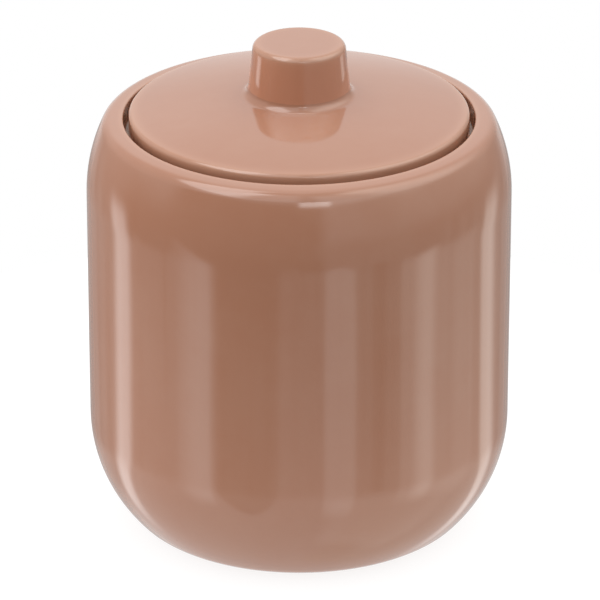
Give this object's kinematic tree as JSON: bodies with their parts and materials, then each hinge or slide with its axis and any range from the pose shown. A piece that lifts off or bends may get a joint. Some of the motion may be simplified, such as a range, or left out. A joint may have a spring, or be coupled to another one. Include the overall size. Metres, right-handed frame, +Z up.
{
  "type": "cotton pad holder",
  "caption": "Round glazed stoneware jar with rounded shoulder and heel, and a domed drop-in lid with a tapered knob, for storing cotton pads.",
  "frame": {"origin": "centre of the foot ring, on the table", "axes": "+Z up along the axis of the jar and the lid; the part is round, and -Y is the side that the picture looks at"},
  "size_m": [0.1, 0.1, 0.1204],
  "materials": {
    "glaze": "gloss terracotta-pink glaze, thinner and paler on the edges, left off the foot ring and the lid's seat"
  },
  "bodies": {
    "jar": {"jar": "glaze"},
    "lid": {"lid": "glaze"}
  },
  "joints": [
    {"name": "lid_lift", "type": "slide", "parent": "jar", "child": "lid", "axis": [0, 0, 1], "range_m": [0, 0.1]}
  ]
}
